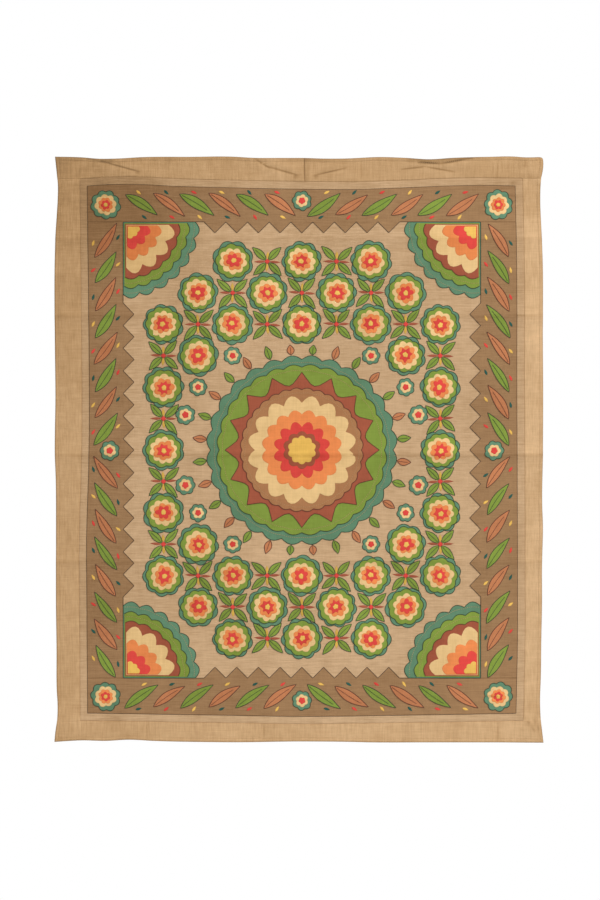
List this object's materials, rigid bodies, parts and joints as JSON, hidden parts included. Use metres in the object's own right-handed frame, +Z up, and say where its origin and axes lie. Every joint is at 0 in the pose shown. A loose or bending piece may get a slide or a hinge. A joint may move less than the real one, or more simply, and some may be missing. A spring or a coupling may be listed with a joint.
{
  "type": "applique wall hanging",
  "caption": "Cloth wall hanging with a plain pieced border and sewn-on cloth shapes: toothed band, round medallion, quarter medallions and scalloped rosettes; hangs by its top edge.",
  "frame": {"origin": "middle of the top edge that the cloth hangs from, in the plane of the wall behind it", "axes": "+Z up, +X to the right seen from the front, -Y the way the front faces"},
  "size_m": [1.696, 0.0124, 2.033],
  "materials": {
    "ground_cloth": "matt plain-weave cotton, beige, a little slubbed",
    "border_cloth": "matt coarse plain-weave cotton, lighter beige",
    "taupe_cloth": "matt cotton, taupe",
    "teal_cloth": "matt cotton, grey-teal green",
    "leaf_green_cloth": "matt cotton, leaf green",
    "rust_cloth": "matt cotton, rust",
    "terracotta_cloth": "matt cotton, terracotta",
    "tan_cloth": "matt cotton, tan",
    "cream_cloth": "matt cotton, cream",
    "orange_cloth": "matt cotton, orange",
    "red_cloth": "matt cotton, red",
    "yellow_cloth": "matt cotton, yellow",
    "dark_thread": "matt embroidery thread in darker shades of the cloths"
  },
  "bodies": {
    "root": {"ground_cloth": "ground_cloth", "border_top_left": "border_cloth", "border_top_right": "border_cloth", "border_left": "border_cloth", "border_right": "border_cloth", "border_bottom": "border_cloth", "band_top": "taupe_cloth", "band_bottom": "taupe_cloth", "band_left": "taupe_cloth", "band_right": "taupe_cloth", "medallion_base": "teal_cloth", "medallion_rays": "rust_cloth", "medallion_flower": "cream_cloth", "medallion_petals": "red_cloth", "medallion_eye": "yellow_cloth", "corner_base_1": "teal_cloth", "corner_fan_1": "cream_cloth", "corner_base_2": "teal_cloth", "corner_fan_2": "cream_cloth", "corner_base_3": "teal_cloth", "corner_fan_3": "cream_cloth", "corner_base_4": "teal_cloth", "corner_fan_4": "cream_cloth", "rosette_01": "teal_cloth", "rosette_02": "teal_cloth", "rosette_03": "teal_cloth", "rosette_04": "teal_cloth", "rosette_05": "teal_cloth", "rosette_06": "teal_cloth", "rosette_07": "teal_cloth", "rosette_08": "teal_cloth", "rosette_09": "teal_cloth", "rosette_10": "teal_cloth", "rosette_11": "teal_cloth", "rosette_12": "teal_cloth", "rosette_13": "teal_cloth", "rosette_14": "teal_cloth", "rosette_15": "teal_cloth", "rosette_16": "teal_cloth", "rosette_17": "teal_cloth", "rosette_18": "teal_cloth", "rosette_19": "teal_cloth", "rosette_20": "teal_cloth", "rosette_21": "teal_cloth", "rosette_22": "teal_cloth", "rosette_23": "teal_cloth", "rosette_24": "teal_cloth", "rosette_25": "teal_cloth", "rosette_26": "teal_cloth", "rosette_27": "teal_cloth", "rosette_28": "teal_cloth", "rosette_29": "teal_cloth", "rosette_30": "teal_cloth", "rosette_31": "teal_cloth", "rosette_32": "teal_cloth", "rosette_33": "teal_cloth", "rosette_34": "teal_cloth"}
  },
  "joints": []
}
